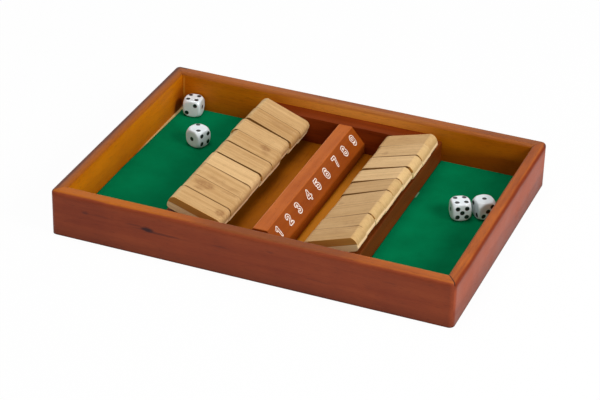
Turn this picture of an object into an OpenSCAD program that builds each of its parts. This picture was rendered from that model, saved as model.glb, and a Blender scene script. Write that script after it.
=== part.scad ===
// Two-player shut the box: a mitred wooden tray with a felt dice well at each end,
// a numbered ridge across the middle and a row of nine flip tiles on each side of it.
// Origin: centre of the underside. +X runs to the right-hand well, +Z is up. Millimetres.

/* [Tray] */
// Overall length of the tray
tray_l = 340; // [280:1:420]
// Overall width of the tray
tray_w = 242; // [200:1:320]
// Overall height of the tray
tray_h = 40; // [34:0.5:60]
// Thickness of the front and back walls
long_wall_t = 12; // [8:0.5:14]
// Thickness of the left and right walls
end_wall_t = 10; // [8:0.5:14]
// Rounding of the top edges of the walls
wall_round = 3; // [1:0.25:4]
// Rounding of the four upright outer corners
corner_round = 4.5; // [1:0.25:6]

/* [Floor and felt] */
// Thickness of the floor panel
floor_t = 4; // [3:0.5:6]
// Height of the underside of the floor panel above the table
floor_lift = 3; // [2:0.5:6]
// Depth of the groove that takes the floor panel
groove_d = 4; // [2:0.5:5]
// Gap between the floor panel and the bottom of its groove
groove_gap = 0.3; // [0.1:0.1:1]
// Thickness of the felt
felt_t = 1; // [0.5:0.1:2]
// Gap between the felt and the end wall
felt_gap = 2.5; // [0.2:0.1:4]
// Gap between the felt and the two long walls
felt_side_gap = 0.4; // [0.2:0.1:3]

/* [Rails and number bar] */
// Half the distance between the two cross rails
cross_in = 72; // [66:0.5:76]
// Thickness of a cross rail
cross_t = 10; // [6:0.5:14]
// Width of a rod rail, measured from the wall
rail_w = 15; // [14:0.5:24]
// Top of the back rod rail above the table
back_rail_top = 30.5; // [28:0.5:34]
// Top of the front rod rail above the table
front_rail_top = 27.2; // [26.6:0.2:34]
// Width of the flat top of the number bar
bar_top_w = 11.5; // [8:0.5:14]
// Reach of the foot of the number bar towards the right-hand row
bar_reach_right = 18; // [12:0.5:22]
// Reach of the foot of the number bar towards the left-hand row
bar_reach_left = 14; // [12:0.5:22]
// Top of the number bar above the table
bar_top = 31; // [28:0.5:33]
// Top of the upright foot of the number bar above the table
bar_foot_top = 17; // [12:0.5:20]

/* [Hinge rods] */
// Diameter of a hinge rod
rod_d = 2.5; // [2:0.1:3.5]
// Distance of a rod from the middle of the tray
rod_x = 42.4; // [42:0.1:46]
// Height of a rod above the table
rod_z = 24; // [23:0.1:25]
// Depth of the rod holes in the rails
rod_hole_d = 10; // [6:0.5:13]
// Radial clearance between a rod and its hole in a rail
rod_fit = 0.02; // [0.01:0.01:0.1]

/* [Tiles] */
// Length of a tile
tile_l = 47; // [44:0.5:52]
// Thickness of a tile
tile_t = 12; // [10:0.5:13]
// Rounding of the upper edge of a tile's low end
tile_round = 5; // [2:0.5:6]
// Radius of the nose at a tile's outer end
nose_r = 6.5; // [5:0.25:7.5]
// Height of that nose, down from the top of the tile
nose_h = 6; // [4:0.25:6.5]
// Rounding of the lower edge of a tile's outer end
tile_foot_round = 3; // [0.5:0.5:3.5]
// Gap between neighbouring tiles
tile_gap = 0.4; // [0.2:0.1:1]
// Gap between the end tiles and the rod rails
row_gap = 0.55; // [0.3:0.05:1]
// Distance from the low end of a tile to the middle of its bore
bore_in = 7.5; // [6:0.5:9]
// Distance from the underside of a left-hand tile to the middle of its bore
bore_up_left = 4.7; // [4:0.1:6.5]
// Distance from the underside of a right-hand tile to the middle of its bore
bore_up_right = 6.1; // [4:0.1:6.5]
// Radial clearance between a rod and the bore of a tile
bore_fit = 0.08; // [0.03:0.01:0.1]
// Slope of a resting tile, outer end up
tile_tilt = 16; // [14:0.25:18]
// Gap between a resting tile and the cross rail under it
rest_gap = 0.1; // [0.05:0.05:0.3]

/* [Dice] */
// Side of a die
die_s = 16; // [12:0.5:18]
// Diameter of the ball that rounds a die
die_ball = 22; // [20:0.1:25]
// Diameter of a pip
pip_d = 3.3; // [2:0.1:3.5]
// Depth of a pip
pip_deep = 0.5; // [0.3:0.1:0.8]
// Distance of the outer pips from the middle of a face
pip_out = 3.7; // [3.6:0.1:4.5]

/* [Hidden] */
$fn = 96;
in_x = tray_l / 2 - end_wall_t;
in_y = tray_w / 2 - long_wall_t;
floor_top = floor_lift + floor_t;
felt_top = floor_top + felt_t;
zone_y = in_y - rail_w;
cross_out = cross_in + cross_t;
tile_w = (2 * zone_y - 2 * row_gap - 8 * tile_gap) / 9;
bore_r = rod_d / 2 + bore_fit;
// height of a cross rail that just clears the underside of resting tiles with that bore
function cross_top(bore_up) =
    rod_z + (cross_in - rod_x) * tan(tile_tilt) - bore_up / cos(tile_tilt) - rest_gap;
// sphere that cuts a pip of the wanted width and depth
pip_r = (pip_d * pip_d / 4 + pip_deep * pip_deep) / (2 * pip_deep);
// extra slope of each tile, number 1 first
lift_left = [5.1, 5.3, 3.3, 2.6, 1.5, 2, 3.1, 2.3, 2.3];
lift_right = [3, 4.9, 5.4, 5, 3.9, 1.7, 0, 0.4, -0.4];
// extra distance of each bore from the underside of its tile
bore_left = [1.4, 0.7, 1.2, 0.3, 0.2, 0.9, 1, 0.1, 0];
bore_right = [0.1, 1.3, 1.7, 2.4, 1.6, 0.6, -0.7, -0.6, -0.3];
// how much further out each tile reaches from its bore
reach_left = [-2.1, -1.7, -0.2, -1.8, -1.4, -0.4, -0.6, -0.7, -0.2];
reach_right = [0.9, 0, 0.6, 0.4, 0.4, 0.9, 2.7, 3.2, 1.8];

// a box given by its lowest and highest corner
module block(a, b) {
    translate(a) cube([b[0] - a[0], b[1] - a[1], b[2] - a[2]]);
}

// upright post that rounds a corner of the tray, with the rounding of the walls' top
// edge carried round it
module corner_post() {
    edge = min(wall_round, 0.8 * corner_round);
    core = corner_round - edge;
    rotate_extrude() {
        square([corner_round, tray_h - edge]);
        square([core, tray_h]);
        translate([core, tray_h - edge]) intersection() {
            circle(r = edge);
            square(edge);
        }
    }
}

// the space that the whole tray fills, with its rounded corners
module tray_block() {
    a = tray_l / 2 - corner_round;
    b = tray_w / 2 - corner_round;
    linear_extrude(tray_h + 1) {
        square([2 * a, tray_w], center = true);
        square([tray_l, 2 * b], center = true);
    }
    for (x = [-a, a], y = [-b, b]) translate([x, y, 0]) corner_post();
}

// section of a wall board of thickness t: x = 0 is the outer face, y is the height
module wall_section(t) {
    difference() {
        union() {
            square([t, tray_h - wall_round]);
            translate([wall_round, 0]) square([t - 2 * wall_round, tray_h]);
            for (x = [wall_round, t - wall_round])
                translate([x, tray_h - wall_round]) circle(r = wall_round);
        }
        translate([t - groove_d, floor_lift]) square([groove_d + 1, floor_t]);
    }
}

// a wall along Y with its outer face at x = -half and its ends at y = -reach and reach,
// t thick and mitred into neighbours that are next_t thick
module wall(half, reach, t, next_t) {
    intersection() {
        translate([-half, 0, 0]) rotate([90, 0, 0])
            linear_extrude(2 * reach, center = true) wall_section(t);
        linear_extrude(tray_h + 1)
            polygon([[-half, -reach], [-half + t, -reach + next_t],
                [-half + t, reach - next_t], [-half, reach]]);
    }
}

module end_wall(turn) {
    color([0.45, 0.16, 0.07]) intersection() {
        rotate([0, 0, turn]) wall(tray_l / 2, tray_w / 2, end_wall_t, long_wall_t);
        tray_block();
    }
}

module long_wall(turn) {
    color([0.45, 0.16, 0.07]) intersection() {
        rotate([0, 0, turn]) wall(tray_w / 2, tray_l / 2, long_wall_t, end_wall_t);
        tray_block();
    }
}

module left_wall() end_wall(0);
module right_wall() end_wall(180);
module front_wall() long_wall(90);
module back_wall() long_wall(-90);

module floor_panel() {
    a = in_x + groove_d - groove_gap;
    b = in_y + groove_d - groove_gap;
    color([0.78, 0.46, 0.14]) block([-a, -b, floor_lift], [a, b, floor_top]);
}

module felt() {
    color([0, 0.42, 0.25])
        block([cross_out, -in_y + felt_side_gap, floor_top],
            [in_x - felt_gap, in_y - felt_side_gap, felt_top]);
}
module felt_left() mirror([1, 0, 0]) felt();
module felt_right() felt();

module cross_rail(top) {
    color([0.48, 0.18, 0.07])
        block([cross_in, -in_y, floor_top], [cross_out, in_y, top]);
}
module left_cross_rail() mirror([1, 0, 0]) cross_rail(cross_top(bore_up_left));
module right_cross_rail() cross_rail(cross_top(bore_up_right));

// rod rail along the wall on the +Y side, with a blind hole for each rod
module rod_rail(top) {
    color([0.5, 0.19, 0.07]) difference() {
        block([-cross_in, zone_y, floor_top], [cross_in, in_y, top]);
        for (x = [-rod_x, rod_x]) translate([x, zone_y + rod_hole_d, rod_z])
            rotate([90, 0, 0]) cylinder(r = rod_d / 2 + rod_fit, h = rod_hole_d + 1);
    }
}
module front_rail() mirror([0, 1, 0]) rod_rail(front_rail_top);
module back_rail() rod_rail(back_rail_top);

module number_bar() {
    l = bar_reach_left;
    r = bar_reach_right;
    t = bar_top_w / 2;
    color([0.62, 0.25, 0.09]) rotate([90, 0, 0])
        linear_extrude(2 * zone_y, center = true)
            polygon([[-l, floor_top], [r, floor_top], [r, bar_foot_top],
                [t, bar_top], [-t, bar_top], [-l, bar_foot_top]]);
}

module rod(x) {
    color([0.7, 0.7, 0.72]) translate([x, 0, rod_z]) rotate([90, 0, 0])
        cylinder(d = rod_d, h = 2 * (zone_y + rod_hole_d), center = true);
}
module rod_left() rod(-rod_x);
module rod_right() rod(rod_x);

// side view of a tile with its bore at the origin and its outer end at +x
module tile_section(bore_up, more) {
    lo = more - bore_in;
    hi = lo + tile_l;
    low = -bore_up;
    top = tile_t - bore_up;
    crown = sqrt(nose_r * nose_r - nose_h * nose_h);
    difference() {
        union() {
            translate([lo, low]) square([tile_l - tile_foot_round, tile_t - tile_round]);
            translate([lo + tile_round, low])
                square([tile_l - tile_round - nose_r + crown, tile_t]);
            translate([hi - nose_r, low + tile_foot_round])
                square([nose_r, tile_t - nose_h - tile_foot_round]);
            translate([lo + tile_round, top - tile_round]) circle(r = tile_round);
            translate([hi - tile_foot_round, low + tile_foot_round]) circle(r = tile_foot_round);
            translate([hi - nose_r, top - nose_h]) intersection() {
                circle(r = nose_r);
                square([nose_r, nose_h]);
            }
        }
        circle(r = bore_r);
    }
}

// resting tile on the +X side, in place k = -4 .. 4 along the rod
module tile(k, lift, bore_up, more) {
    color([0.84, 0.7, 0.46])
        translate([rod_x, k * (tile_w + tile_gap), rod_z])
            rotate([0, -(tile_tilt + lift), 0]) rotate([90, 0, 0])
                linear_extrude(tile_w, center = true) tile_section(bore_up, more);
}

// number 1 is at the front on the right-hand side and at the back on the left-hand side
module right_tile(n)
    tile(n - 5, lift_right[n - 1], bore_up_right + bore_right[n - 1], reach_right[n - 1]);
module left_tile(n) mirror([1, 0, 0])
    tile(5 - n, lift_left[n - 1], bore_up_left + bore_left[n - 1], reach_left[n - 1]);

module tile_left_1() left_tile(1);
module tile_left_2() left_tile(2);
module tile_left_3() left_tile(3);
module tile_left_4() left_tile(4);
module tile_left_5() left_tile(5);
module tile_left_6() left_tile(6);
module tile_left_7() left_tile(7);
module tile_left_8() left_tile(8);
module tile_left_9() left_tile(9);
module tile_right_1() right_tile(1);
module tile_right_2() right_tile(2);
module tile_right_3() right_tile(3);
module tile_right_4() right_tile(4);
module tile_right_5() right_tile(5);
module tile_right_6() right_tile(6);
module tile_right_7() right_tile(7);
module tile_right_8() right_tile(8);
module tile_right_9() right_tile(9);

// cutting balls for the pips of the +Z face, one ball per place in the list
module pips(places) {
    for (p = places) translate([p[0] * pip_out, p[1] * pip_out, die_s / 2 - pip_deep + pip_r])
        sphere(r = pip_r);
}

// die with 1 on +X, 2 on -Y, 4 on +Z before it is turned; opposite faces add up to 7
module die_shape() {
    two = [[1, 1], [-1, -1]];
    four = [[1, 1], [-1, -1], [1, -1], [-1, 1]];
    difference() {
        intersection() {
            cube(die_s, center = true);
            sphere(d = die_ball);
        }
        rotate([0, 90, 0]) pips([[0, 0]]);
        rotate([90, 0, 0]) pips(two);
        rotate([180, 0, 0]) pips([[0, 0], [1, -1], [-1, 1]]);
        pips(four);
        rotate([-90, 0, 0]) pips([[0, 0], [1, 1], [-1, -1], [1, -1], [-1, 1]]);
        rotate([0, -90, 0]) pips([[0, 1], [0, -1], [1, 1], [-1, -1], [1, -1], [-1, 1]]);
    }
}

// die standing on the felt: place, turn about Z, and the roll that brings a face up
module die(x, y, turn, roll) {
    color([0.93, 0.93, 0.9]) translate([x, y, felt_top + die_s / 2])
        rotate([0, 0, turn]) rotate(roll) die_shape();
}

module die_1() die(-in_x + 15.8, in_y - 10.4, 5.5, [0, 0, 0]);
module die_2() die(-cross_out - 35.7, in_y - 59.3, -19.5, [-90, 0, -90]);
module die_3() die(in_x - 33.8, 25.8, 31.5, [0, 0, 180]);
module die_4() die(in_x - 16.8, 35.6, -46, [0, -90, 0]);

front_wall();
back_wall();
left_wall();
right_wall();
floor_panel();
felt_left();
felt_right();
left_cross_rail();
right_cross_rail();
front_rail();
back_rail();
number_bar();
rod_left();
rod_right();
tile_left_1();
tile_left_2();
tile_left_3();
tile_left_4();
tile_left_5();
tile_left_6();
tile_left_7();
tile_left_8();
tile_left_9();
tile_right_1();
tile_right_2();
tile_right_3();
tile_right_4();
tile_right_5();
tile_right_6();
tile_right_7();
tile_right_8();
tile_right_9();
die_1();
die_2();
die_3();
die_4();
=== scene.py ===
import bpy, math
import numpy as np
from mathutils import Euler, Matrix, Vector
from types import SimpleNamespace


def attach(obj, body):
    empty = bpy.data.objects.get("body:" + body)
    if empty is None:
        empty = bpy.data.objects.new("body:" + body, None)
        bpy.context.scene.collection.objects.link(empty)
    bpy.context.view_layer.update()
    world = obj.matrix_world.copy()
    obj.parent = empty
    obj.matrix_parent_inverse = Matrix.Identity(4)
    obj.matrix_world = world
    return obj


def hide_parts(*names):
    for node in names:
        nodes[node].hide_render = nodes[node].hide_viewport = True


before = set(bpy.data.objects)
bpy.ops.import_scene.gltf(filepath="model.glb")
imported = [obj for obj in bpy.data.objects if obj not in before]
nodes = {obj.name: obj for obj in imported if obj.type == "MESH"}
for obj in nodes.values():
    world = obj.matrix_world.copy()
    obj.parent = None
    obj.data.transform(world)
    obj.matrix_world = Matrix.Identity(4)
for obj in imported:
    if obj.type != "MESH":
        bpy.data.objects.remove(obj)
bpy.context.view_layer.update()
print("frame loaded:", len(nodes), "parts")

mm = 0.001
tray = {  # millimetres
    "halfLength": 170, "halfWidth": 121, "height": 40, "endWall": 10, "longWall": 12,
    "rodX": 42.4, "rodZ": 24, "tileSlope": 16, "tilePitch": 20.811, "tileWidth": 20.411,
    "boreIn": 7.5, "boreUp": {"left": 4.7, "right": 6.1}, "tileLength": 47,
}


# the camera: angles in degrees, distances in metres, lens in millimetres
camera = {"azimuth": 21.21, "elevation": 30.37, "roll": 1.54, "distance": 1.7915,
          "target": (-0.00735, 0.01009, 0), "lens": 129.606, "sensor": 36, "clipEnd": 20}


def placeCamera(look):
    az, el, roll = (math.radians(look[k]) for k in ("azimuth", "elevation", "roll"))
    back = Vector((math.sin(az) * math.cos(el), -math.cos(az) * math.cos(el), math.sin(el)))
    right = Vector((0, 0, 1)).cross(back).normalized()
    up = back.cross(right)
    turnedRight = right * math.cos(roll) + up * math.sin(roll)
    turnedUp = up * math.cos(roll) - right * math.sin(roll)
    data = bpy.data.cameras.new("camera")
    data.lens, data.sensor_width, data.clip_end = look["lens"], look["sensor"], look["clipEnd"]
    made = bpy.data.objects.new("camera", data)
    bpy.context.scene.collection.objects.link(made)
    turn = Matrix((turnedRight, turnedUp, back)).transposed()
    place = Vector(look["target"]) + back * look["distance"]
    made.matrix_world = Matrix.Translation(place) @ turn.to_4x4()
    bpy.context.scene.camera = made


placeCamera(camera)
print("camera placed")


class Wire:  # the output of a shader node, which can be used in sums
    def __init__(self, finish, socket):
        self.finish, self.socket = finish, socket

    def maths(self, operation, *values):
        return self.finish.node("ShaderNodeMath", {"operation": operation}, dict(enumerate(values)))

    def __add__(self, other): return self.maths("ADD", self, other)
    def __radd__(self, other): return self.maths("ADD", other, self)
    def __sub__(self, other): return self.maths("SUBTRACT", self, other)
    def __rsub__(self, other): return self.maths("SUBTRACT", other, self)
    def __mul__(self, other): return self.maths("MULTIPLY", self, other)
    def __rmul__(self, other): return self.maths("MULTIPLY", other, self)
    def __truediv__(self, other): return self.maths("DIVIDE", self, other)
    def __pow__(self, other): return self.maths("POWER", self, other)
    def __abs__(self): return self.maths("ABSOLUTE", self)
    def least(self, other): return self.maths("MINIMUM", self, other)
    def most(self, other): return self.maths("MAXIMUM", self, other)
    def sign(self): return self.maths("SIGN", self)

    def step(self, low, high):  # 0 below low, 1 above high, smooth between
        return self.finish.node("ShaderNodeMapRange", {"interpolation_type": "SMOOTHSTEP"},
                                {0: self, 1: low, 2: high})


def paint(red, green, blue):  # screen colour 0 to 255 as shader colour
    return tuple(v / 12.92 if v <= 0.04045 else ((v + 0.055) / 1.055) ** 2.4
                 for v in (red / 255, green / 255, blue / 255)) + (1,)


class Finish:  # one material with a Principled surface
    def __init__(self, name, fixed):
        self.material = bpy.data.materials.new(name)
        self.material.use_nodes = True
        self.tree = self.material.node_tree
        self.tree.nodes.clear()
        self.surface = self.node("ShaderNodeBsdfPrincipled", {}, fixed)
        self.node("ShaderNodeOutputMaterial", {}, {0: self.surface})
        self.place = self.node("ShaderNodeVectorMath", {"operation": "SCALE"},
                               {0: self.node("ShaderNodeTexCoord", out=3), 3: 1000})  # millimetres

    def node(self, kind, settings=None, sockets=None, out=0):
        made = self.tree.nodes.new(kind)
        for key, value in (settings or {}).items():
            setattr(made, key, value)
        for key, value in (sockets or {}).items():
            if isinstance(value, Wire):
                self.tree.links.new(value.socket, made.inputs[key])
            else:
                made.inputs[key].default_value = value
        return Wire(self, made.outputs[out]) if len(made.outputs) else made

    def split(self, vector):
        made = self.node("ShaderNodeSeparateXYZ", {}, {0: vector}).socket.node
        return [Wire(self, made.outputs[i]) for i in range(3)]

    def join(self, x, y, z):
        return self.node("ShaderNodeCombineXYZ", {}, {0: x, 1: y, 2: z})

    def stretch(self, vector, scale, shift=(0, 0, 0)):  # vector * scale + shift
        return self.node("ShaderNodeVectorMath", {"operation": "MULTIPLY_ADD"},
                         {0: vector, 1: scale, 2: shift})

    def noise(self, vector, detail=2, roughness=0.5, distortion=0):  # evened out to 0 to 1
        raw = self.node("ShaderNodeTexNoise", {}, {
            "Vector": vector, "Scale": 1, "Detail": detail, "Roughness": roughness,
            "Distortion": distortion})
        return self.node("ShaderNodeMapRange", {}, {0: raw, 1: 0.28, 2: 0.72})

    def lumps(self, size, detail=3, shift=(0, 0, 0), **more):  # size in millimetres, alike all ways
        return self.noise(self.stretch(self.place, [1 / size] * 3, shift), detail, **more)

    def mix(self, share, a, b):
        return self.node("ShaderNodeMix", {"data_type": "RGBA"}, {0: share, 6: a, 7: b}, out=2)

    def bump(self, height, strength, distance):  # distance in millimetres
        return self.node("ShaderNodeBump", {}, {"Height": height, "Strength": strength,
                                                "Distance": distance * mm})

    def give(self, colour, roughness, normal):
        sockets = self.surface.socket.node.inputs
        for name, value in (("Base Color", colour), ("Roughness", roughness), ("Normal", normal)):
            self.tree.links.new(value.socket, sockets[name])


def woodFigure(finish, along, seed):
    # noises drawn out along the board: fine fibres, slow streaks and short pores; one even cloud
    # for the way stain takes; and the tone that they add up to
    def drawn(length, width, shift):
        scale = [1 / width] * 3
        scale[along] = 1 / length
        return finish.stretch(finish.place, scale, (seed + shift, shift * 1.7, seed * 2.3))
    fibre = finish.noise(drawn(26, 0.55, 3), detail=3, roughness=0.6)
    streak = finish.noise(drawn(120, 7, 11), detail=3, roughness=0.55, distortion=0.4)
    pore = finish.noise(drawn(7, 0.3, 23), detail=1).step(0.72, 0.95)
    cloud = finish.lumps(34, shift=(seed, 5, 9))
    tone = fibre * 0.25 + streak * 0.45 + cloud * 0.3
    return SimpleNamespace(fibre=fibre, streak=streak, pore=pore, cloud=cloud, tone=tone)


wallLook = {
    # lit and glow are painted sheens; arris, edge and the low inner colour are painted shade, and
    # so is the darker rim colour on the front rim
    "outerDark": paint(118, 44, 22), "outerLight": paint(150, 70, 38), "lit": paint(184, 86, 48),
    "arris": paint(120, 42, 4), "edge": paint(82, 48, 42), "knot": paint(44, 24, 28),
    "rimDark": paint(120, 46, 12), "rimLight": paint(194, 106, 42), "rimWorn": paint(120, 62, 30),
    "rimOrange": paint(186, 102, 18), "rimAmber": paint(156, 82, 0), "rimGrey": paint(116, 84, 56),
    "innerDark": paint(198, 102, 0), "innerLight": paint(230, 138, 3),
    "innerLow": paint(136, 62, 0), "glow": paint(246, 176, 84), "glue": paint(236, 176, 70),
    "seam": paint(50, 20, 8), "roughness": 0.46, "specular": 0.15,
    # each knot on the front wall: x, z, half length, half height, strength
    "knots": [(-84.5, 24.5, 6, 2.4, 0.95), (-74, 23.2, 24, 1.1, 0.5), (-96, 25.6, 9, 0.9, 0.4),
              (-139, 26, 3.6, 1.6, 0.5), (-128, 25.6, 12, 0.7, 0.25), (-22, 24, 9, 0.8, 0.35),
              (62, 14, 12, 0.8, 0.25), (118, 27, 7, 0.7, 0.2), (20, 30, 4, 1, 0.3)],
    # stretches along x over which a patch comes or goes: on the front rim the orange end goes, then
    # the darker middle, painted shade, comes and goes; on the back wall the right end darkens,
    # inside as painted shade
    "orangeGoes": (-95, -35), "wornComes": (-62, -18), "wornGoes": (40, 125),
    "darkRim": (60, 160), "darkFoot": (20, 150), "darkInside": (55, 165),
    # the back wall carries a painted sheen around the x given first, fully up to the first distance
    # from it and not at all past the second; glueX is where a line of glue runs up it
    "bareX": 8, "bareReach": (10, 105), "glueX": -158.4,
}


def wallPlace(finish, wood, along):
    # where a point lies on the tray: depth is how far in from its outline, share is that over the
    # wall's thickness, and front, back and left are 1 on those walls
    x, y, z = finish.split(finish.place)
    fromEnd, fromSide = tray["halfLength"] - abs(x), tray["halfWidth"] - abs(y)
    insideX, insideY = tray["halfLength"] - tray["endWall"], tray["halfWidth"] - tray["longWall"]
    return SimpleNamespace(
        wood=wood, x=x, y=y, z=z, fromEnd=fromEnd, fromSide=fromSide, depth=fromEnd.least(fromSide),
        share=fromEnd / tray["endWall"] if along else fromSide / tray["longWall"],
        wander=(wood.cloud - 0.5) * 1.4 + (wood.streak - 0.5) * 1.2,
        front=(0 - y).step(insideY - 2, insideY), back=y.step(insideY - 1, insideY + 1),
        left=(0 - x).step(insideX - 2, insideX - 1))


def longWallPaint(finish, look, at, outer, rim, inner):
    # front: knots and painted shade on the middle of the rim; back: a painted sheen in the middle,
    # a darker right end, inside as painted shade, and a line of glue
    for knotX, knotZ, halfLong, halfHigh, strength in look["knots"]:
        along, rise = at.x - knotX, (at.z - knotZ) + (at.wood.cloud - 0.5) * 2.2
        away = (along / halfLong) ** 2 + (rise / halfHigh) ** 2 + (at.wood.fibre - 0.5) * 0.9
        knot = (1 - away.step(0, 1.3)) * strength * (0 - at.y).step(118, 119)
        outer = finish.mix(knot, outer, look["knot"])
    spot = at.x + at.wander * 8
    rim = finish.mix((1 - spot.step(*look["orangeGoes"])) * at.front * 0.7, rim, look["rimOrange"])
    # painted shade: the middle of the front rim is painted darker
    wornAndShade = spot.step(*look["wornComes"]) * (1 - spot.step(*look["wornGoes"]))
    rim = finish.mix(wornAndShade * at.front * 0.8, rim, look["rimWorn"])
    # painted shade: the inner face is painted darker towards the foot, and the back wall more so
    # towards its right end
    low = 1 - (at.z + at.wander * 2).step(8, 32)  # the inner face darkens towards the foot
    low = low * (0.35 + 0.5 * at.x.step(*look["darkFoot"])) + 0.25
    low = (low + 0.35 * at.x.step(*look["darkInside"])).least(0.95)
    # painted sheen: the middle of the back wall is painted lighter on its rim and inner face, and
    # kept out of the painted shade
    bareAndSheen = 1 - abs(at.x - look["bareX"] + at.wander * 10).step(*look["bareReach"])
    bareAndSheen = bareAndSheen * at.z.step(26, 35)
    rim = finish.mix(bareAndSheen * at.back * at.depth.step(6.5, 10) * 0.25, rim, look["glow"])
    rim = finish.mix(at.x.step(*look["darkRim"]) * at.back * 0.3, rim, look["rimWorn"])
    rim = finish.mix(at.back * 0.3, rim, look["rimGrey"])
    inner = finish.mix(low * (1 - bareAndSheen), inner, look["innerLow"])
    inner = finish.mix(bareAndSheen * 0.55, inner, look["glow"])
    glue = (1 - abs(at.x - look["glueX"] + at.wander * 0.3).step(0.5, 1.3)) * at.back
    glue = glue * at.z.step(16, 22) * (1 - at.z.step(34, 38))
    return outer, rim, finish.mix(glue * 0.75, inner, look["glue"])


def endWallPaint(finish, look, at, outer, rim, inner):
    # a painted sheen on the upper half outside and painted shade along the arris; the rim is less
    # amber towards the back, and inside, painted shade darkens the foot, the back corner and the
    # back
    top = tray["height"]
    # painted sheen on the upper part of the right wall's outer face
    lit = at.x.step(168, 169) * (at.z + at.wander).step(12, 22)
    outer = finish.mix(lit * 0.35, outer, look["lit"])
    # painted shade along the arris, where the painted sheen falls away
    outer = finish.mix((at.z + at.wander).step(top - 10, top - 3) * 0.95, outer, look["arris"])
    rim = finish.mix(at.y.step(50, 115) * 0.3, rim, look["rimWorn"])
    rim = finish.mix(at.left * 0.35, rim, look["rimGrey"])
    # painted shade inside: darker towards the foot, in the back corner and towards the back
    low = (1 - (at.z + at.wander * 2).step(8, 32)) * 0.45
    corner = at.y.step(82, 108) * (1 - at.z.step(20, 38)) * 0.7
    low = (low + corner + at.y.step(60, 110) * 0.2).least(0.95)
    return outer, rim, finish.mix(low, inner, look["innerLow"])


def wallFinish(name, along, seed, look):
    finish = Finish(name, {"Roughness": look["roughness"], "Specular IOR Level": look["specular"]})
    wood = woodFigure(finish, along, seed)
    at = wallPlace(finish, wood, along)
    top = tray["height"]
    outer = finish.mix(wood.tone, look["outerDark"], look["outerLight"])
    outer = finish.mix((1 - at.z.step(0, 14)) * 0.3, outer, look["seam"])
    rim = finish.mix(wood.tone, look["rimDark"], look["rimLight"])
    inner = finish.mix(wood.tone, look["innerDark"], look["innerLight"])
    paintWall = endWallPaint if along else longWallPaint
    outer, rim, inner = paintWall(finish, look, at, outer, rim, inner)
    inner = finish.mix(at.z.step(top - 3.4, top - 1.2), inner, look["rimAmber"])

    onRim = (at.z + at.depth * 0.8 + at.wander * 0.6).step(top - 1, top + 1.6)
    colour = finish.mix(onRim, outer, rim)
    # painted shade and a dull painted reflection on the far outer edges, which face away from the
    # lamps; the far rims turn amber half way in
    amber = at.left if along else at.back * 0.7
    far = at.y.step(112, 114).most((0 - at.x).step(162, 164) * at.y.step(-121, -112))
    onTop = at.z.step(top - 3.5, top - 2)
    dark = 1 - (at.depth + at.wander * 0.4 - (2.4 + 2.6 * at.left)).step(-2, 0.5)
    colour = finish.mix(dark * onTop * far * 0.8, colour, look["edge"])
    inFrom = 0.84 - amber * 0.3
    turned = 1 - (at.z + at.wander * 0.5).step(top - 3, top - 0.8) * (1 - amber * 0.75)
    colour = finish.mix((at.share - inFrom).step(0, 0.15 + 0.15 * amber) * turned, colour, inner)
    # the mitre line, which has opened a little at the near right corner
    near = at.x.step(100, 120) * (0 - at.y).step(60, 80)
    offMitre = abs(at.fromEnd / tray["endWall"] - at.fromSide / tray["longWall"])
    seam = 1 - (offMitre - near * 0.03).step(0.004, 0.05)
    seam = seam * (0.2 + 0.2 * wood.cloud + near * 0.7).least(1) * onTop
    foot = (1 - (at.z + at.wander * 0.3).step(0.3, 1.6)) * 0.55
    for share in (wood.pore * 0.3, seam, foot):
        colour = finish.mix(share, colour, look["seam"])
    rough = look["roughness"] + (wood.fibre - 0.5) * 0.12 + (wood.cloud - 0.5) * 0.14
    rough = rough + at.z.step(top - 6, top - 2) * (1 - at.depth.step(0, 3)) * 0.35
    height = wood.fibre * 0.35 - wood.pore * 0.5 - seam * 1.5 + wood.streak * 0.4
    finish.give(colour=colour, roughness=rough, normal=finish.bump(height, 0.35, 0.12))
    return finish.material


plainLooks = {  # along is the axis that the grain follows
    "railWood": {"dark": paint(88, 24, 0), "light": paint(134, 56, 12),
                 "roughness": 0.46, "along": 0, "seed": 4},
    "crossWood": {"dark": paint(88, 34, 6), "light": paint(130, 62, 16),
                  "roughness": 0.46, "along": 1, "seed": 7},
    "barWood": {"dark": paint(160, 76, 24), "light": paint(194, 108, 50),
                # the slope colours are painted shade, and the arris colour is a painted highlight
                "slopeShadedDark": paint(114, 42, 0), "slopeShadedLight": paint(146, 68, 2),
                "arris": paint(216, 130, 80), "arrisX": -5.6, "topZ": 31,
                "roughness": 0.42, "along": 1, "seed": 12},
    "floorWood": {"dark": paint(138, 68, 0), "light": paint(196, 116, 6),
                  # the shaded colour is painted shade and the bright one a painted pool of light
                  "shaded": paint(70, 26, 0), "paintedLight": paint(236, 152, 40),
                  "bareAndSheen": paint(222, 200, 140),
                  "roughness": 0.5, "along": 1, "seed": 19},
}


def barMarks(finish, look, tone, colour):
    # the slopes are painted darker than the flat top, as painted shade, and the left arris carries
    # a painted highlight
    x, _, z = finish.split(finish.place)
    top = look["topZ"]
    slope = finish.mix(tone, look["slopeShadedDark"], look["slopeShadedLight"])
    colour = finish.mix((1 - z.step(top - 0.8, top - 0.1)) * 0.8, colour, slope)
    # painted highlight along the left arris
    arris = (1 - abs(x - look["arrisX"]).step(0.1, 0.8)) * z.step(top - 1, top - 0.4)
    return finish.mix(arris * 0.5, colour, look["arris"])


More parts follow.
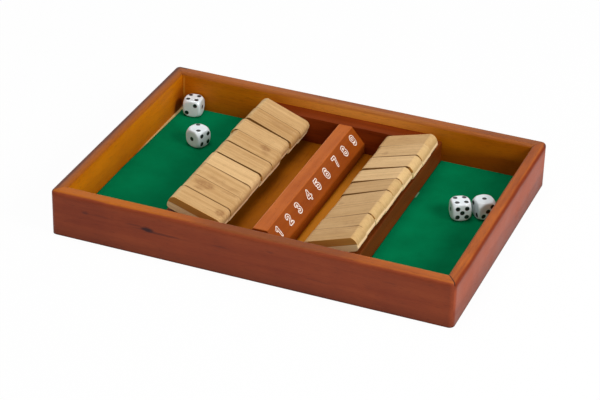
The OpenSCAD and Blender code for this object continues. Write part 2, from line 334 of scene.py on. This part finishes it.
def floorMarks(finish, look, colour):
    # painted shade under the left tiles and towards the back, a painted pool of light beside the
    # right tiles, and bare of stain along the left wall
    x, y, _ = finish.split(finish.place)
    # where the floor is kept out of the painted shade: all but the strip under the left tiles
    wornAndShade = (1 - (0 - x).step(24, 38)) * (0 - x).step(0, 1) + x.step(0, 1)
    shaded = (1 - wornAndShade) * (1 - abs(x).step(70, 80)) * 0.5 + y.step(20, 100) * 0.3
    colour = finish.mix(shaded, colour, look["shaded"])
    colour = finish.mix(x.step(18, 20) * (1 - y.step(10, 80)) * 0.5, colour, look["paintedLight"])
    return finish.mix((0 - x).step(154, 156) * y.step(10, 40) * 0.8, colour, look["bareAndSheen"])


def plainWood(name, look):
    finish = Finish(name, {"Roughness": look["roughness"], "Specular IOR Level": 0.09})
    wood = woodFigure(finish, look["along"], look["seed"])
    colour = finish.mix(wood.tone, look["dark"], look["light"])
    poreColour = tuple(v * 0.35 for v in look["dark"][:3]) + (1,)
    colour = finish.mix(wood.pore * 0.35, colour, poreColour)
    if name == "barWood":
        colour = barMarks(finish, look, wood.tone, colour)
    if name == "floorWood":
        colour = floorMarks(finish, look, colour)
    rough = look["roughness"] + (wood.fibre - 0.5) * 0.12 + (wood.cloud - 0.5) * 0.12
    height = wood.fibre * 0.35 - wood.pore * 0.5 + wood.streak * 0.4
    finish.give(colour=colour, roughness=rough, normal=finish.bump(height, 0.35, 0.12))
    return finish.material


tileLook = {
    "dark": paint(180, 137, 84), "light": paint(231, 193, 140), "fleck": paint(122, 82, 42),
    # end is the lower ply's pale end, brightened as a painted highlight along the low ends
    "side": paint(196, 140, 64), "sideLow": paint(255, 232, 176), "end": paint(255, 218, 170),
    "nose": {"left": paint(240, 208, 150), "right": paint(208, 176, 116)},
    # the gap colour is painted shade between the tiles
    "gapShade": paint(112, 76, 36), "smudge": paint(140, 94, 52),
    "roughness": 0.5, "specular": 0.2, "seed": 40,
    "seam": 5.9, "top": 12,  # heights of the glue line and of the upper face
}
# each tile: extra slope, extra height of its bore, extra reach, tone, then its node marks, each
# u, v, half length, half width, strength
tiles = {
    "left": [
        (5.1, 1.4, -2.1, -0.15, []),
        (5.3, 0.7, -1.7, -0.4, [(14, 3, 16, 5, 0.3)]),
        (3.3, 1.2, -0.2, -0.15, []),
        (2.6, 0.3, -1.8, -0.25, [(15, 4.5, 5.5, 4, 0.9), (12, -1.5, 5, 3, 0.5)]),
        (1.5, 0.2, -1.4, -0.2, []),
        (2, 0.9, -0.4, 0.15, []),
        (3.1, 1, -0.6, -0.2, [(20, -5, 18, 3, 0.4)]),
        (2.3, 0.1, -0.7, -0.3, [(32, 3, 9, 6, 0.8), (34, -4.5, 6, 4, 0.7), (11, 7, 8, 2, 0.4)]),
        (2.3, 0, -0.2, -0.2, [(6, -0.5, 4.4, 5, 0.8)]),
    ],
    "right": [
        (3, 0.1, 0.9, -0.2, [(24, 3, 14, 4, 0.25)]),
        (4.9, 1.3, 0, -0.1, [(34, -3, 9, 5, 0.25)]),
        (5.4, 1.7, 0.6, -0.12, []),
        (5, 2.4, 0.4, -0.02, [(8, -4, 3, 2.5, 0.35)]),
        (3.9, 1.6, 0.4, -0.15, []),
        (1.7, 0.6, 0.9, 0.3, []),
        (0, -0.7, 2.7, 0.25, []),
        (0.4, -0.6, 3.2, 0.02, [(13, -4, 3.5, 4, 0.5)]),
        (-0.4, -0.3, 1.8, -0.1, [(20, 4, 12, 4, 0.2)]),
    ],
}


def tilePlace(finish, side, number, seed):
    # u runs up the tile from its low end, v across it and w up through it; spot counts the tiles
    # from the middle of the row, and drawn stretches a noise along the tile, elsewhere on each one
    lift, higher, reach = tiles[side][number - 1][:3]
    sign, spot = (1, number - 5) if side == "right" else (-1, 5 - number)
    slope = math.radians(tray["tileSlope"] + lift)
    x, y, z = finish.split(finish.place)
    out, rise = x * sign - tray["rodX"], z - tray["rodZ"]
    u = out * math.cos(slope) + rise * math.sin(slope) + (tray["boreIn"] - reach)
    w = rise * math.cos(slope) - out * math.sin(slope) + (tray["boreUp"][side] + higher)
    v = y - spot * tray["tilePitch"]
    own = finish.join(u, v, w)
    chance = np.random.default_rng(seed + number + 9 * sign).uniform(0, 60, 3).tolist()

    def drawn(length, width, shift=0):
        return finish.stretch(own, (1 / length, 1 / width, 1 / width),
                              (shift + chance[0], chance[1], chance[2]))
    return SimpleNamespace(u=u, v=v, w=w, spot=spot, drawn=drawn)


def bambooFinish(side, number, look):
    ownTone, marks = tiles[side][number - 1][3:]
    finish = Finish(f"bamboo_{side}_{number}",
                    {"Roughness": look["roughness"], "Specular IOR Level": look["specular"]})
    at = tilePlace(finish, side, number, look["seed"])
    length, half, seam, top = tray["tileLength"], tray["tileWidth"] / 2, look["seam"], look["top"]
    fibre = finish.noise(at.drawn(30, 0.42, 1), detail=3, roughness=0.62)
    strip = finish.noise(at.drawn(160, 2.6, 8))
    fleck = finish.noise(at.drawn(5, 0.28, 17), detail=1).step(0.74, 0.96)
    cloud = finish.noise(at.drawn(18, 9, 29), detail=3, roughness=0.6)
    tone = fibre * 0.35 + strip * 0.35 + cloud * 0.15 + (0.07 + ownTone)
    colour = finish.mix(tone.most(0).least(1), look["dark"], look["light"])
    colour = finish.mix(fleck * 0.35, colour, look["fleck"])
    if marks:
        blotch = finish.noise(at.drawn(3.4, 1.7), detail=4, roughness=0.65, distortion=0.8)
    for markU, markV, halfLong, halfWide, strength in marks:
        along, across = (at.u - markU) / halfLong, (at.v - markV) / halfWide
        away = along ** 2 + across ** 2 + (cloud - 0.5) * 1.1
        mark = (1 - away.step(0, 1.3)) * strength * (blotch * 1.1 + 0.2 * fibre).least(1)
        colour = finish.mix(mark, colour, look["smudge"])
    # the rounded outer end is pale
    nose = at.u.step(length - 7 + cloud * 3, length - 2)
    colour = finish.mix(nose * (0.12 + cloud * 0.5), colour, look["nose"][side])
    # two plies: the upper one is dark on its cut sides, the lower one pale on its ends, and the low
    # ends carry a painted highlight besides
    onSide = abs(at.v).step(half - 0.45, half - 0.12)
    sideColour = finish.mix(at.w.step(seam - 0.25, seam + 0.25), look["sideLow"], look["side"])
    sideColour = finish.mix(fibre * 0.35, sideColour, look["fleck"])
    inRow = 1  # 0 on the outer side of the last tile at either end of a row
    if abs(at.spot) == 4:
        inRow = at.v.sign() * (1 if at.spot < 0 else -1) * 0.5 + 0.5
    # painted shade in the gaps between tiles: the top of each side that faces a neighbour, and a
    # thin line along the top face's long edges
    gapShadeBand = at.w.step(top - 2.4, top - 1.2) * inRow
    sideColour = finish.mix(gapShadeBand * 0.9, sideColour, look["gapShade"])
    colour = finish.mix(abs(at.v).step(half - 0.8, half - 0.42) * gapShadeBand * 0.7, colour, look["gapShade"])
    colour = finish.mix(onSide, colour, sideColour)
    # the lower ply's pale ends, also a painted highlight along the low ends
    onEnd = abs(at.u - length / 2).step(length / 2 - 2.4, length / 2 - 0.6)
    onEnd = onEnd * (1 - at.w.step(3.3, 4.6 + cloud * 0.6))
    colour = finish.mix(onEnd * (1 - onSide), colour, look["end"])
    glue = 1 - abs(at.w - seam).step(0.05, 0.28)
    colour = finish.mix(glue * onSide * 0.5, colour, look["fleck"])
    rough = look["roughness"] + (fibre - 0.5) * 0.15 + fleck * 0.1
    height = fibre * 0.5 - fleck * 0.6 + strip * 0.3
    finish.give(colour=colour, roughness=rough, normal=finish.bump(height, 0.4, 0.12))
    return finish.material


feltLook = {
    "dark": paint(0, 86, 49), "light": paint(0, 129, 81), "lint": paint(24, 140, 96),
    "paleSpot": paint(150, 190, 158), "paleSpotAt": (82.6, 45), "sheen": paint(10, 150, 90),
    "roughness": 0.95, "hairLong": 1.8, "hairThin": 0.22, "hairDeep": 0.4,
}


def feltFinish(look):
    finish = Finish("felt", {"Roughness": look["roughness"], "Specular IOR Level": 0.02,
                             "Sheen Weight": 0.02, "Sheen Roughness": 0.5,
                             "Sheen Tint": look["sheen"]})
    long, thin, deep = 1 / look["hairLong"], 1 / look["hairThin"], 1 / look["hairDeep"]
    matted = finish.lumps(0.5, detail=4, roughness=0.7, distortion=1.2)
    hair = finish.noise(finish.stretch(finish.place, (long, thin, deep), (4, 4, 4)), distortion=2.5)
    hairAcross = finish.noise(finish.stretch(finish.place, (thin, long, deep), (9, 2, 4)),
                              distortion=2.5)
    tone = matted * 0.35 + finish.lumps(28) * 0.35 + hair * 0.15 + hairAcross * 0.15
    colour = finish.mix(tone, look["dark"], look["light"])
    lint = hair.step(0.86, 1) * hairAcross.step(0.5, 0.9)
    colour = finish.mix(lint * 0.5, colour, look["lint"])
    x, y, _ = finish.split(finish.place)
    # a pale spot on the inner edge of the right sheet
    paleSpotX, paleSpotY = look["paleSpotAt"]
    paleSpot = (1 - abs(x - paleSpotX).step(0.2, 1.3)) * (1 - abs(y - paleSpotY).step(3, 6))
    colour = finish.mix(paleSpot * 0.6, colour, look["paleSpot"])
    height = matted * 0.6 + hair * 0.4 + hairAcross * 0.4
    finish.give(colour=colour, roughness=look["roughness"] - matted * 0.06,
                normal=finish.bump(height, 0.5, 0.25))
    return finish.material


steelLook = {"dark": paint(150, 148, 144), "light": paint(206, 204, 200), "roughness": 0.24}


def steelFinish(look):
    finish = Finish("rodSteel", {"Metallic": 1.0, "Roughness": look["roughness"]})
    drawn = finish.noise(finish.stretch(finish.place, (1 / 0.15, 1 / 24, 1 / 0.15)), detail=3)
    cloud = finish.lumps(9)
    colour = finish.mix(drawn * 0.5 + cloud * 0.5, look["dark"], look["light"])
    rough = look["roughness"] + drawn * 0.1 + cloud * 0.12
    finish.give(colour=colour, roughness=rough, normal=finish.bump(drawn, 0.2, 0.05))
    return finish.material


dieLook = {"white": paint(230, 237, 240), "shade": paint(214, 222, 226), "pip": paint(14, 14, 15),
           "pipRadius": 1.95, "roughness": 0.16}


def dieFinish(look):
    # pipAway is the distance in millimetres from the middle of the nearest pip
    finish = Finish("diePlastic", {"Roughness": look["roughness"], "Coat Weight": 0.4,
                                   "Coat Roughness": 0.08, "Specular IOR Level": 0.5})
    away = finish.node("ShaderNodeAttribute", {"attribute_name": "pipAway"}, out=2)
    cloud, speck = finish.lumps(6), finish.lumps(0.35, detail=2)
    colour = finish.mix(cloud * 0.6 + speck * 0.2, look["white"], look["shade"])
    edge = look["pipRadius"]
    pip = 1 - (away + (speck - 0.5) * 0.08).step(edge - 0.1, edge + 0.06)
    colour = finish.mix(pip, colour, look["pip"])
    rough = look["roughness"] + cloud * 0.08 + pip * 0.12
    finish.give(colour=colour, roughness=rough, normal=finish.bump(speck, 0.06, 0.05))
    return finish.material


numberLook = {"wornAndShade": paint(220, 196, 180), "fresh": paint(250, 240, 232), "roughness": 0.4}


def numberFinish(look):
    finish = Finish("numberPaint", {"Roughness": look["roughness"], "Specular IOR Level": 0.4})
    wornAndShade = finish.lumps(0.6, detail=4, roughness=0.7)
    colour = finish.mix(wornAndShade.step(0.1, 0.8), look["wornAndShade"], look["fresh"])
    rough = look["roughness"] + wornAndShade * 0.2
    finish.give(colour=colour, roughness=rough, normal=finish.bump(wornAndShade, 0.3, 0.05))
    return finish.material


finishes = {
    "wallLong": wallFinish("wallLong", along=0, seed=2, look=wallLook),
    "wallEnd": wallFinish("wallEnd", along=1, seed=31, look=wallLook),
    "felt": feltFinish(feltLook), "steel": steelFinish(steelLook), "die": dieFinish(dieLook),
    "numbers": numberFinish(numberLook),
}
finishes.update({name: plainWood(name, look) for name, look in plainLooks.items()})
print("finishes made:", len(finishes))


# the sawn parts keep their own shape
partFinish = {
    "front_wall": "wallLong", "back_wall": "wallLong",
    "left_wall": "wallEnd", "right_wall": "wallEnd", "floor_panel": "floorWood",
    "left_cross_rail": "crossWood", "right_cross_rail": "crossWood",
    "front_rail": "railWood", "back_rail": "railWood", "number_bar": "barWood",
    "rod_left": "steel", "rod_right": "steel",
}
easedEdges = {"number_bar": 0.7, "front_rail": 0.5, "back_rail": 0.5, "left_cross_rail": 0.5,
              "right_cross_rail": 0.5, "tile": 0.4}  # millimetres
easing = {"weld": 0.01 * mm, "flatWithin": 0.5, "sharpFrom": 40, "segments": 3}  # angles in degrees


def easeEdges(thing, width, how):
    weld = thing.modifiers.new("weld", "WELD")
    weld.merge_threshold = how["weld"]
    flat = thing.modifiers.new("flat", "DECIMATE")
    flat.decimate_type, flat.angle_limit = "DISSOLVE", math.radians(how["flatWithin"])
    ease = thing.modifiers.new("ease", "BEVEL")
    ease.width, ease.segments, ease.limit_method = width * mm, how["segments"], "ANGLE"
    ease.angle_limit, ease.harden_normals = math.radians(how["sharpFrom"]), True


for name, thing in nodes.items():
    thing.data.materials.clear()
    if name.startswith("tile"):
        side, number = name.split("_")[1:]
        thing.data.materials.append(bambooFinish(side, int(number), tileLook))
        easeEdges(thing, easedEdges["tile"], easing)
    elif name in partFinish:
        thing.data.materials.append(finishes[partFinish[name]])
        if name in easedEdges:
            easeEdges(thing, easedEdges[name], easing)
print("parts finished")


def meshPiece(name, points, faces, finish, smooth=True):
    mesh = bpy.data.meshes.new(name)
    mesh.from_pydata(points.tolist(), [], faces.tolist())
    mesh.validate()
    mesh.polygons.foreach_set("use_smooth", [smooth] * len(mesh.polygons))
    mesh.materials.append(finish)
    piece = bpy.data.objects.new(name, mesh)
    bpy.context.scene.collection.objects.link(piece)
    return piece


def gridFaces(rows, columns, start=0):
    # the four corners of every cell of a grid of points that is stored row by row
    at = start + np.arange(rows * columns).reshape(rows, columns)
    return np.stack([at[:-1, :-1], at[1:, :-1], at[1:, 1:], at[:-1, 1:]], -1).reshape(-1, 4)


def closeShell(top, under, cells):
    # a skin, its underside and the walls between them; an edge that only one cell has is on the rim
    edges = np.concatenate([cells[:, [i, (i + 1) % 4]] for i in range(4)]).tolist()
    known = set(map(tuple, edges))
    rim = np.array([edge for edge in edges if (edge[1], edge[0]) not in known])
    walls = np.column_stack([rim[:, 1], rim[:, 0], rim[:, 0] + len(top), rim[:, 1] + len(top)])
    return np.concatenate([top, under]), np.concatenate([cells, cells[:, ::-1] + len(top), walls])


# two sheets of baize, in millimetres
felt = {
    "inner": 82, "outer": {"left": (159.3, 157.1), "right": (158.6, 158.6)}, "halfLong": 108.6,
    "low": 7.02, "top": 8.0, "cells": (40, 112), "seed": 13, "crowding": 1.545,
    "ripple": 0.1, "rippleFade": 6, "edge": 0.35, "edgeDrop": 0.55,
    "ragged": 0.25, "raggedWaves": ((17, 1), (41, 0.6), (73, 0.4)),  # of the outer edge
    "askewFrom": -10, "askewOver": 100,  # where the outer edge starts to leave its line
}


def feltSheet(label, look):
    # top skin and underside on one grid; the rim rounds over, its line wanders a little, and
    # the outer edge of the left sheet is cut askew, narrower towards the back
    side = 1 if label == "right" else -1
    across, along = look["cells"]
    s, t = np.meshgrid(np.linspace(-1, 1, across), np.linspace(-1, 1, along), indexing="ij")
    phase = np.random.default_rng(look["seed"] + side).uniform(0, 6.28, 8)
    wander = sum(np.sin(t * often + phase[i]) * high
                 for i, (often, high) in enumerate(look["raggedWaves"])) / 2
    sx, ty = [np.sin(v * look["crowding"]) / math.sin(look["crowding"]) for v in (s, t)]
    y = ty * look["halfLong"]
    front, back = look["outer"][label]
    outer = front + (back - front) * np.clip((y - look["askewFrom"]) / look["askewOver"], 0, 1)
    half = (outer - look["inner"]) / 2
    x = look["inner"] + (sx + 1) * half
    x = np.where(s > 0.999, x - look["ragged"] * (1 + wander) / 2, x)
    rim = np.minimum(half - abs(sx) * half, look["halfLong"] - abs(y))
    thick = look["top"] - look["low"]
    drop = np.clip(1 - rim / look["edge"], 0, 1) ** 2 * thick * look["edgeDrop"]
    ripple = 0.5 + 0.25 * np.sin(x / 19 + phase[3]) + 0.25 * np.sin(y / 27 + phase[4] + x / 40)
    ripple = ripple * look["ripple"] * np.clip(rim / look["rippleFade"], 0.1, 1)
    top = look["top"] - ripple - drop
    skin = np.stack([x * side, y, top], -1).reshape(-1, 3)
    under = np.stack([x * side, y, np.full_like(x, look["low"])], -1).reshape(-1, 3)
    points, faces = closeShell(skin, under, gridFaces(across, along)[:, ::side])
    return meshPiece("felt_sheet_" + label, points * mm, faces, finishes["felt"])


for label in ("left", "right"):
    cloth = feltSheet(label, felt)
    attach(cloth, "tray")
    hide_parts("felt_" + label)
print("felt laid")


# four dice, in millimetres and degrees
dice = {
    "side": 16, "ball": 11, "pipOut": 3.8, "pipRadius": dieLook["pipRadius"], "pipDeep": 0.5,
    "cells": 60, "cubePower": 14, "ballPower": 26,
    "places": {  # x, y, turn, then the roll that brings a face up
        "die_1": (-144.2, 98.6, 5.5, (0, 0, 0)), "die_2": (-117.7, 49.7, -19.5, (-90, 0, -90)),
        "die_3": (126.2, 25.8, 31.5, (0, 0, 180)), "die_4": (143.2, 35.6, -46, (0, -90, 0)),
    },
}
pipCorners = [(1, 1), (-1, -1), (1, -1), (-1, 1)]
pipSpots = {1: [(0, 0)], 2: pipCorners[:2], 3: [(0, 0)] + pipCorners[2:], 4: pipCorners,
            5: [(0, 0)] + pipCorners, 6: [(0, 1), (0, -1)] + pipCorners}
faceTurns = {1: (0, 90, 0), 2: (90, 0, 0), 3: (180, 0, 0),
             4: (0, 0, 0), 5: (-90, 0, 0), 6: (0, -90, 0)}


def turnOf(degrees):
    return np.array(Euler([math.radians(v) for v in degrees], "XYZ").to_matrix())


def dieShape(look):
    # each face is a grid on a cube, pushed out along the ray from the middle to a soft-edged cube
    # that a ball trims; near a pip the surface dips in a shallow bowl
    n, half, soft, trim = look["cells"], look["side"] / 2, look["cubePower"], look["ballPower"]
    s, t = np.meshgrid(np.linspace(-1, 1, n), np.linspace(-1, 1, n), indexing="ij")
    points, aways, faces = [], [], []
    for number, turn in faceTurns.items():
        flat = np.stack([s, t, np.ones_like(s)], -1).reshape(-1, 3)
        ray = flat / np.linalg.norm(flat, axis=1)[:, None]
        cube = half / (abs(ray) ** soft).sum(1) ** (1 / soft)
        reach = (cube ** -trim + look["ball"] ** -trim) ** (-1 / trim)
        p = ray * reach[:, None]
        spots = np.array(pipSpots[number]) * look["pipOut"]
        away = np.linalg.norm(p[:, None, :2] - spots[None], axis=2).min(1)
        p[:, 2] -= look["pipDeep"] * np.clip(1 - (away / look["pipRadius"]) ** 2, 0, 1) ** 0.8
        faces.append(gridFaces(n, n, len(points) * n * n))
        points.append(p @ turnOf(turn).T)
        aways.append(away)
    return np.concatenate(points), np.concatenate(aways), np.concatenate(faces)


def weldGrid(points, values, faces):
    # joins the points that two grids share along an edge
    _, first, back = np.unique(np.round(points, 4), axis=0, return_index=True, return_inverse=True)
    return points[first], values[first], back.reshape(-1)[faces]


diePoints, pipAway, dieFaces = weldGrid(*dieShape(dice))
for name, (x, y, turn, roll) in dice["places"].items():
    spin = turnOf((0, 0, turn)) @ turnOf(roll)
    placed = (diePoints @ spin.T + (x, y, felt["top"] + dice["side"] / 2)) * mm
    die = meshPiece(name + "_body", placed, dieFaces, finishes["die"])
    mark = die.data.attributes.new("pipAway", "FLOAT", "POINT")
    mark.data.foreach_set("value", pipAway.astype(np.float32))
    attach(die, name)
    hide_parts(name)
print("dice made")


# hollow numbers on the two slopes of the bar, in millimetres
numbers = {
    "outerRadius": 1.4, "innerRadius": 0.55, "film": 0.07, "filmEdge": 0.2, "sunk": 0.03,
    "cell": 0.11, "margin": 0.3, "spacing": 0.06, "widen": 1.02,
    "along": (-81.2, -60.6, -41, -19, 0.2, 20.3, 41.5, 61.8, 82.2),
    # each slope of the bar: middle of the digits and the way down, both given on the +X side
    "right": ((11.35, 24.6), (0.6585, -0.7526)), "left": ((9.5, 24.6), (0.5077, -0.8615)),
}


def arc(x, y, rx, ry, start, end):
    turn = np.radians(np.linspace(start, end, 60))
    return [(x + rx * math.cos(v), y + ry * math.sin(v)) for v in turn]


sixth = [arc(0.25, 0, 2.65, 3.7, 48, 190), arc(0, -1.45, 2.4, 2.25, 0, 360)]
digitPaths = {  # middle lines of the strokes of each digit, in millimetres
    1: [[(-1.9, 1.9), (0.5, 3.7), (0.5, -3.7)]],
    2: [arc(0, 1.55, 2.35, 2.15, 170, -38) + [(-2.5, -3.7), (2.6, -3.7)]],
    3: [arc(-0.2, 1.85, 2.2, 1.85, 150, -90) + arc(-0.2, -1.8, 2.5, 1.9, 88, -150)],
    4: [[(1.2, -3.7), (1.2, 3.7), (-2.6, -1.5), (2.9, -1.5)]],
    5: [[(2.2, 3.7), (-1.8, 3.7), (-2.1, 0.4)] + arc(-0.15, -1.4, 2.45, 2.3, 118, -145)],
    6: sixth,
    7: [[(-2.5, 3.7), (2.4, 3.7), (-0.3, -3.7)]],
    8: [arc(0, 1.9, 2.1, 1.8, 0, 360), arc(0, -1.75, 2.5, 1.95, 0, 360)],
    9: [[(-u, -v) for u, v in path] for path in sixth],
}


def densePath(path, spacing):
    corners = np.array(path, float)
    lengths = np.concatenate([[0], np.cumsum(np.linalg.norm(np.diff(corners, axis=0), axis=1))])
    at = np.linspace(0, lengths[-1], int(lengths[-1] / spacing) + 2)
    return np.stack([np.interp(at, lengths, corners[:, i]) for i in (0, 1)], -1)


def nearestOn(centre, grid):
    # for each grid point, how far the nearest point of the middle lines is, and which one it is;
    # the lines are gone through 64 points at a time, which keeps the tables small
    away, nearest = np.full(len(grid), np.inf), np.zeros_like(grid)
    for start in range(0, len(centre), 64):
        gap = np.linalg.norm(grid[:, None] - centre[None, start:start + 64], axis=2)
        best, closer = gap.argmin(1), gap.min(1) < away
        away[closer] = gap.min(1)[closer]
        nearest[closer] = centre[start + best[closer]]
    return away, nearest


def hollowDigit(paths, look):
    # a low bead of paint along the outline of thick strokes: the grid cells that reach between the
    # inner and the outer distance from the strokes' middle lines, trimmed to those two distances
    inner, outer, margin = look["innerRadius"], look["outerRadius"], look["margin"]
    centre = np.concatenate([densePath([(u * look["widen"], v) for u, v in path], look["spacing"])
                             for path in paths])
    low, high = centre.min(0) - outer - margin, centre.max(0) + outer + margin
    us, vs = [np.arange(low[i], high[i], look["cell"]) for i in (0, 1)]
    grid = np.stack(np.meshgrid(us, vs, indexing="ij"), -1).reshape(-1, 2)
    away, nearest = nearestOn(centre, grid)
    cells = gridFaces(len(us), len(vs))
    cells = cells[((away > inner) & (away < outer))[cells].any(1)]
    border = np.clip(away, inner, outer)
    grid = nearest + (grid - nearest) * (border / np.maximum(away, 1e-6))[:, None]
    fromMiddle = (border - (inner + outer) / 2) / ((outer - inner) / 2)
    bulge = np.sqrt(np.clip(1 - fromMiddle ** 2, 0, 1))
    rise = look["film"] * (look["filmEdge"] + (1 - look["filmEdge"]) * bulge)
    used, cells = np.unique(cells, return_inverse=True)
    top = np.column_stack([grid[used], rise[used]])
    under = np.column_stack([grid[used], np.full(len(used), -look["sunk"])])
    return closeShell(top, under, cells.reshape(-1, 4))


for label in ("right", "left"):
    (middleX, middleZ), (downX, downZ) = numbers[label]
    axes = np.array(((0, 1, 0), (-downX, 0, -downZ), (-downZ, 0, downX)))  # right, up and outwards
    for number, y in enumerate(numbers["along"], 1):
        points, faces = hollowDigit(digitPaths[number], numbers)
        placed = points @ axes + (middleX, y, middleZ)
        if label == "left":
            placed = placed * (-1, -1, 1)  # half a turn
        digit = meshPiece(f"number_{label}_{number}", placed * mm, faces, finishes["numbers"])
        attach(digit, "tray")
print("numbers painted")


# stage and light, in metres and watts
stageLook = {"floorHalf": 3, "floorZ": -0.2 * mm, "grey": paint(238, 238, 238), "showWhite": 0.96}
worldStrength = 0.32
lights = {  # place, size, watts; each is aimed at the middle of the tray
    "top": ((-0.15, 0, 1.9), 1.1, 15),
    "key": ((1.6, -0.35, 1.15), 0.9, 26),
    "fill": ((-0.3, -1.8, 0.9), 1.0, 4),
}


def makeStage(look):
    # a plain floor, which camera, glossy and transmitted rays see as nearly white
    half, z = look["floorHalf"], look["floorZ"]
    finish = Finish("stageFloor", {"Roughness": 0.9, "Base Color": look["grey"]})
    seen = finish.node("ShaderNodeLightPath")
    rays = seen.socket.node.outputs
    for kind in ("Is Glossy Ray", "Is Transmission Ray"):
        seen = seen + Wire(finish, rays[kind])
    white = finish.node("ShaderNodeEmission", {}, {0: (1, 1, 1, 1), 1: 1.0})
    both = finish.node("ShaderNodeMixShader", {}, {0: seen.least(1) * look["showWhite"],
                                                   1: finish.surface, 2: white})
    end = next(n for n in finish.tree.nodes if n.type == "OUTPUT_MATERIAL")
    finish.tree.links.new(both.socket, end.inputs[0])
    corners = np.array([(-half, -half, z), (half, -half, z), (half, half, z), (-half, half, z)])
    quad = np.array([[0, 1, 2, 3]])
    floor = meshPiece("stage_floor", corners, quad, finish.material, smooth=False)


def lightUp(name, place, size, watts):
    data = bpy.data.lights.new(name, "AREA")
    data.shape, data.size, data.energy = "DISK", size, watts
    lamp = bpy.data.objects.new(name, data)
    lamp.location = place
    lamp.rotation_mode = "QUATERNION"
    lamp.rotation_quaternion = (-Vector(place)).to_track_quat("-Z", "Y")
    bpy.context.scene.collection.objects.link(lamp)


def makeWorld(strength):
    # white in full where camera, glossy and transmitted rays see it, and dimmer as a light
    world = bpy.data.worlds.new("studio")
    world.use_nodes = True
    tree = world.node_tree
    tree.nodes.clear()
    rays = tree.nodes.new("ShaderNodeLightPath").outputs
    shown = rays["Is Camera Ray"]
    for kind in ("Is Glossy Ray", "Is Transmission Ray"):
        either = tree.nodes.new("ShaderNodeMath")
        either.operation = "MAXIMUM"
        tree.links.new(shown, either.inputs[0])
        tree.links.new(rays[kind], either.inputs[1])
        shown = either.outputs[0]
    level = tree.nodes.new("ShaderNodeMapRange")
    level.inputs[3].default_value, level.inputs[4].default_value = strength, 1
    tree.links.new(shown, level.inputs[0])
    glow = tree.nodes.new("ShaderNodeBackground")
    tree.links.new(level.outputs[0], glow.inputs[1])
    end = tree.nodes.new("ShaderNodeOutputWorld")
    tree.links.new(glow.outputs[0], end.inputs[0])
    bpy.context.scene.world = world


makeStage(stageLook)
makeWorld(worldStrength)
for name, setup in lights.items():
    lightUp(name, *setup)
bpy.context.scene.view_settings.view_transform = "Standard"
print("stage lit")
